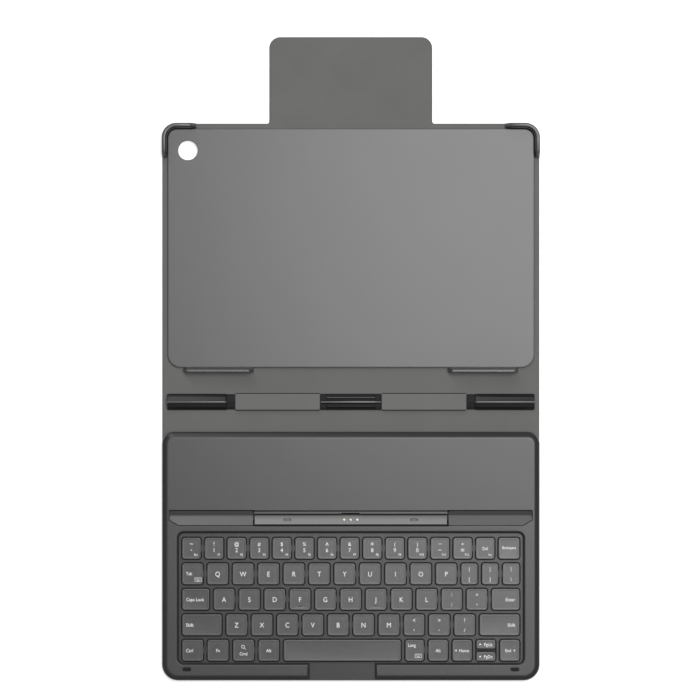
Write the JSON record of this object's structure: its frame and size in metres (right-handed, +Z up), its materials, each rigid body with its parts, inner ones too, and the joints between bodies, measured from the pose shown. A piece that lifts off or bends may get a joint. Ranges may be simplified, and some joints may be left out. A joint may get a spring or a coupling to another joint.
{
  "type": "tablet keyboard case",
  "caption": "Folding cover with a keyboard deck, a stand groove with contact pins, a hinged spine and a holder tray for a tablet.",
  "frame": {"origin": "middle of the opened case, on the surface that it lies on", "axes": "+X across the width to the right of the keyboard, +Y from the keyboard's front edge to the flap, +Z up"},
  "size_m": [0.255, 0.4348, 0.0102],
  "materials": {
    "cover": "matte grained leatherette lining",
    "holder": "satin moulded polycarbonate",
    "deck": "fine matte moulded plastic",
    "base_case": "matte moulded plastic",
    "key": "satin key caps with pale legends",
    "cradle": "satin moulded plastic",
    "rubber": "soft matte rubber",
    "spine_bar": "semi-gloss dark plastic with a bright line of sheen",
    "spine_pad": "matte grained leatherette over a stiff core",
    "pin": "bright plated contact",
    "film": "printed switch film",
    "board": "solder-masked circuit board"
  },
  "bodies": {
    "deck": {"deck_cover_skin": "cover", "deck_bottom_case": "base_case", "deck_top_case": "deck", "switch_membrane": "film", "controller_board": "board", "bumper_left": "rubber", "bumper_right": "rubber"},
    "spine": {"spine_skin": "cover", "spine_bar_left": "spine_bar", "spine_bar_right": "spine_bar", "spine_pad_left": "spine_pad", "spine_pad_right": "spine_pad", "spine_centre_rail": "deck"},
    "lower_panel": {"lower_panel_skin": "cover"},
    "holder": {"upper_panel_skin": "cover", "holder_tray": "holder"},
    "bridge": {"flap_bridge": "cover"},
    "tab": {"flap_tab": "cover"},
    "cradle": {"cradle_bar": "cradle", "contact_board": "board"},
    "pogo_pin_1": {"pogo_pin_1": "pin"},
    "pogo_pin_2": {"pogo_pin_2": "pin"},
    "pogo_pin_3": {"pogo_pin_3": "pin"},
    "key_grave_1": {"key_grave_1": "key"},
    "key_2_3": {"key_2_3": "key"},
    "key_4_5": {"key_4_5": "key"},
    "key_6_7": {"key_6_7": "key"},
    "key_8_9": {"key_8_9": "key"},
    "key_0_minus": {"key_0_minus": "key"},
    "key_equals_delete": {"key_equals_delete": "key"},
    "key_backspace": {"key_backspace": "key"},
    "key_tab_q": {"key_tab_q": "key"},
    "key_w_e": {"key_w_e": "key"},
    "key_r_t": {"key_r_t": "key"},
    "key_y_u": {"key_y_u": "key"},
    "key_i_o": {"key_i_o": "key"},
    "key_p_bracket_open": {"key_p_bracket_open": "key"},
    "key_bracket_close_backslash": {"key_bracket_close_backslash": "key"},
    "key_caps_lock": {"key_caps_lock": "key"},
    "key_a_s": {"key_a_s": "key"},
    "key_d_f": {"key_d_f": "key"},
    "key_g_h": {"key_g_h": "key"},
    "key_j_k": {"key_j_k": "key"},
    "key_l_semicolon": {"key_l_semicolon": "key"},
    "key_quote_enter": {"key_quote_enter": "key"},
    "key_shift_left": {"key_shift_left": "key"},
    "key_z_x": {"key_z_x": "key"},
    "key_c_v": {"key_c_v": "key"},
    "key_b_n": {"key_b_n": "key"},
    "key_m_comma": {"key_m_comma": "key"},
    "key_stop_slash": {"key_stop_slash": "key"},
    "key_shift_right": {"key_shift_right": "key"},
    "key_ctrl_fn": {"key_ctrl_fn": "key"},
    "key_command_alt_left": {"key_command_alt_left": "key"},
    "key_space": {"key_space": "key"},
    "key_language_alt_right": {"key_language_alt_right": "key"},
    "key_home": {"key_home": "key"},
    "key_page_up": {"key_page_up": "key"},
    "key_page_down": {"key_page_down": "key"},
    "key_end": {"key_end": "key"}
  },
  "joints": [
    {"name": "spine_fold", "type": "hinge", "parent": "deck", "child": "spine", "pos_m": [0, -0.0383, 0.0008], "axis": [1, 0, 0], "range_deg": [0, 90]},
    {"name": "panel_fold", "type": "hinge", "parent": "spine", "child": "lower_panel", "pos_m": [0, -0.0203, 0.0008], "axis": [1, 0, 0], "range_deg": [0, 90]},
    {"name": "tray_swing", "type": "hinge", "parent": "lower_panel", "child": "holder", "pos_m": [0, 0.0314, 0.0008], "axis": [1, 0, 0], "range_deg": [-90, 0]},
    {"name": "flap_fold", "type": "hinge", "parent": "holder", "child": "bridge", "pos_m": [0, 0.1613, 0.0008], "axis": [1, 0, 0], "range_deg": [0, 90]},
    {"name": "tab_fold", "type": "hinge", "parent": "bridge", "child": "tab", "pos_m": [0, 0.1816, 0.0008], "axis": [1, 0, 0], "range_deg": [0, 90]},
    {"name": "cradle_tilt", "type": "hinge", "parent": "deck", "child": "cradle", "pos_m": [0, -0.11019, 0.00536], "axis": [1, 0, 0], "range_deg": [0, 8]},
    {"name": "pin_1_press", "type": "slide", "parent": "cradle", "child": "pogo_pin_1", "axis": [0, 0.4397, 0.8982], "range_m": [-0.0005, 0], "stiffness_N_per_m": 300, "springref_m": 0.0006},
    {"name": "pin_2_press", "type": "slide", "parent": "cradle", "child": "pogo_pin_2", "axis": [0, 0.4397, 0.8982], "range_m": [-0.0005, 0], "stiffness_N_per_m": 300, "springref_m": 0.0006},
    {"name": "pin_3_press", "type": "slide", "parent": "cradle", "child": "pogo_pin_3", "axis": [0, 0.4397, 0.8982], "range_m": [-0.0005, 0], "stiffness_N_per_m": 300, "springref_m": 0.0006},
    {"name": "press_grave_1", "type": "slide", "parent": "deck", "child": "key_grave_1", "axis": [0, 0, 1], "range_m": [-0.0012, 0], "stiffness_N_per_m": 250, "springref_m": 0.0012},
    {"name": "press_2_3", "type": "slide", "parent": "deck", "child": "key_2_3", "axis": [0, 0, 1], "range_m": [-0.0012, 0], "stiffness_N_per_m": 250, "springref_m": 0.0012},
    {"name": "press_4_5", "type": "slide", "parent": "deck", "child": "key_4_5", "axis": [0, 0, 1], "range_m": [-0.0012, 0], "stiffness_N_per_m": 250, "springref_m": 0.0012},
    {"name": "press_6_7", "type": "slide", "parent": "deck", "child": "key_6_7", "axis": [0, 0, 1], "range_m": [-0.0012, 0], "stiffness_N_per_m": 250, "springref_m": 0.0012},
    {"name": "press_8_9", "type": "slide", "parent": "deck", "child": "key_8_9", "axis": [0, 0, 1], "range_m": [-0.0012, 0], "stiffness_N_per_m": 250, "springref_m": 0.0012},
    {"name": "press_0_minus", "type": "slide", "parent": "deck", "child": "key_0_minus", "axis": [0, 0, 1], "range_m": [-0.0012, 0], "stiffness_N_per_m": 250, "springref_m": 0.0012},
    {"name": "press_equals_delete", "type": "slide", "parent": "deck", "child": "key_equals_delete", "axis": [0, 0, 1], "range_m": [-0.0012, 0], "stiffness_N_per_m": 250, "springref_m": 0.0012},
    {"name": "press_backspace", "type": "slide", "parent": "deck", "child": "key_backspace", "axis": [0, 0, 1], "range_m": [-0.0012, 0], "stiffness_N_per_m": 250, "springref_m": 0.0012},
    {"name": "press_tab_q", "type": "slide", "parent": "deck", "child": "key_tab_q", "axis": [0, 0, 1], "range_m": [-0.0012, 0], "stiffness_N_per_m": 250, "springref_m": 0.0012},
    {"name": "press_w_e", "type": "slide", "parent": "deck", "child": "key_w_e", "axis": [0, 0, 1], "range_m": [-0.0012, 0], "stiffness_N_per_m": 250, "springref_m": 0.0012},
    {"name": "press_r_t", "type": "slide", "parent": "deck", "child": "key_r_t", "axis": [0, 0, 1], "range_m": [-0.0012, 0], "stiffness_N_per_m": 250, "springref_m": 0.0012},
    {"name": "press_y_u", "type": "slide", "parent": "deck", "child": "key_y_u", "axis": [0, 0, 1], "range_m": [-0.0012, 0], "stiffness_N_per_m": 250, "springref_m": 0.0012},
    {"name": "press_i_o", "type": "slide", "parent": "deck", "child": "key_i_o", "axis": [0, 0, 1], "range_m": [-0.0012, 0], "stiffness_N_per_m": 250, "springref_m": 0.0012},
    {"name": "press_p_bracket_open", "type": "slide", "parent": "deck", "child": "key_p_bracket_open", "axis": [0, 0, 1], "range_m": [-0.0012, 0], "stiffness_N_per_m": 250, "springref_m": 0.0012},
    {"name": "press_bracket_close_backslash", "type": "slide", "parent": "deck", "child": "key_bracket_close_backslash", "axis": [0, 0, 1], "range_m": [-0.0012, 0], "stiffness_N_per_m": 250, "springref_m": 0.0012},
    {"name": "press_caps_lock", "type": "slide", "parent": "deck", "child": "key_caps_lock", "axis": [0, 0, 1], "range_m": [-0.0012, 0], "stiffness_N_per_m": 250, "springref_m": 0.0012},
    {"name": "press_a_s", "type": "slide", "parent": "deck", "child": "key_a_s", "axis": [0, 0, 1], "range_m": [-0.0012, 0], "stiffness_N_per_m": 250, "springref_m": 0.0012},
    {"name": "press_d_f", "type": "slide", "parent": "deck", "child": "key_d_f", "axis": [0, 0, 1], "range_m": [-0.0012, 0], "stiffness_N_per_m": 250, "springref_m": 0.0012},
    {"name": "press_g_h", "type": "slide", "parent": "deck", "child": "key_g_h", "axis": [0, 0, 1], "range_m": [-0.0012, 0], "stiffness_N_per_m": 250, "springref_m": 0.0012},
    {"name": "press_j_k", "type": "slide", "parent": "deck", "child": "key_j_k", "axis": [0, 0, 1], "range_m": [-0.0012, 0], "stiffness_N_per_m": 250, "springref_m": 0.0012},
    {"name": "press_l_semicolon", "type": "slide", "parent": "deck", "child": "key_l_semicolon", "axis": [0, 0, 1], "range_m": [-0.0012, 0], "stiffness_N_per_m": 250, "springref_m": 0.0012},
    {"name": "press_quote_enter", "type": "slide", "parent": "deck", "child": "key_quote_enter", "axis": [0, 0, 1], "range_m": [-0.0012, 0], "stiffness_N_per_m": 250, "springref_m": 0.0012},
    {"name": "press_shift_left", "type": "slide", "parent": "deck", "child": "key_shift_left", "axis": [0, 0, 1], "range_m": [-0.0012, 0], "stiffness_N_per_m": 250, "springref_m": 0.0012},
    {"name": "press_z_x", "type": "slide", "parent": "deck", "child": "key_z_x", "axis": [0, 0, 1], "range_m": [-0.0012, 0], "stiffness_N_per_m": 250, "springref_m": 0.0012},
    {"name": "press_c_v", "type": "slide", "parent": "deck", "child": "key_c_v", "axis": [0, 0, 1], "range_m": [-0.0012, 0], "stiffness_N_per_m": 250, "springref_m": 0.0012},
    {"name": "press_b_n", "type": "slide", "parent": "deck", "child": "key_b_n", "axis": [0, 0, 1], "range_m": [-0.0012, 0], "stiffness_N_per_m": 250, "springref_m": 0.0012},
    {"name": "press_m_comma", "type": "slide", "parent": "deck", "child": "key_m_comma", "axis": [0, 0, 1], "range_m": [-0.0012, 0], "stiffness_N_per_m": 250, "springref_m": 0.0012},
    {"name": "press_stop_slash", "type": "slide", "parent": "deck", "child": "key_stop_slash", "axis": [0, 0, 1], "range_m": [-0.0012, 0], "stiffness_N_per_m": 250, "springref_m": 0.0012},
    {"name": "press_shift_right", "type": "slide", "parent": "deck", "child": "key_shift_right", "axis": [0, 0, 1], "range_m": [-0.0012, 0], "stiffness_N_per_m": 250, "springref_m": 0.0012},
    {"name": "press_ctrl_fn", "type": "slide", "parent": "deck", "child": "key_ctrl_fn", "axis": [0, 0, 1], "range_m": [-0.0012, 0], "stiffness_N_per_m": 250, "springref_m": 0.0012},
    {"name": "press_command_alt_left", "type": "slide", "parent": "deck", "child": "key_command_alt_left", "axis": [0, 0, 1], "range_m": [-0.0012, 0], "stiffness_N_per_m": 250, "springref_m": 0.0012},
    {"name": "press_space", "type": "slide", "parent": "deck", "child": "key_space", "axis": [0, 0, 1], "range_m": [-0.0012, 0], "stiffness_N_per_m": 250, "springref_m": 0.0012},
    {"name": "press_language_alt_right", "type": "slide", "parent": "deck", "child": "key_language_alt_right", "axis": [0, 0, 1], "range_m": [-0.0012, 0], "stiffness_N_per_m": 250, "springref_m": 0.0012},
    {"name": "press_home", "type": "slide", "parent": "deck", "child": "key_home", "axis": [0, 0, 1], "range_m": [-0.0012, 0], "stiffness_N_per_m": 250, "springref_m": 0.0012},
    {"name": "press_page_up", "type": "slide", "parent": "deck", "child": "key_page_up", "axis": [0, 0, 1], "range_m": [-0.0012, 0], "stiffness_N_per_m": 250, "springref_m": 0.0012},
    {"name": "press_page_down", "type": "slide", "parent": "deck", "child": "key_page_down", "axis": [0, 0, 1], "range_m": [-0.0012, 0], "stiffness_N_per_m": 250, "springref_m": 0.0012},
    {"name": "press_end", "type": "slide", "parent": "deck", "child": "key_end", "axis": [0, 0, 1], "range_m": [-0.0012, 0], "stiffness_N_per_m": 250, "springref_m": 0.0012}
  ]
}
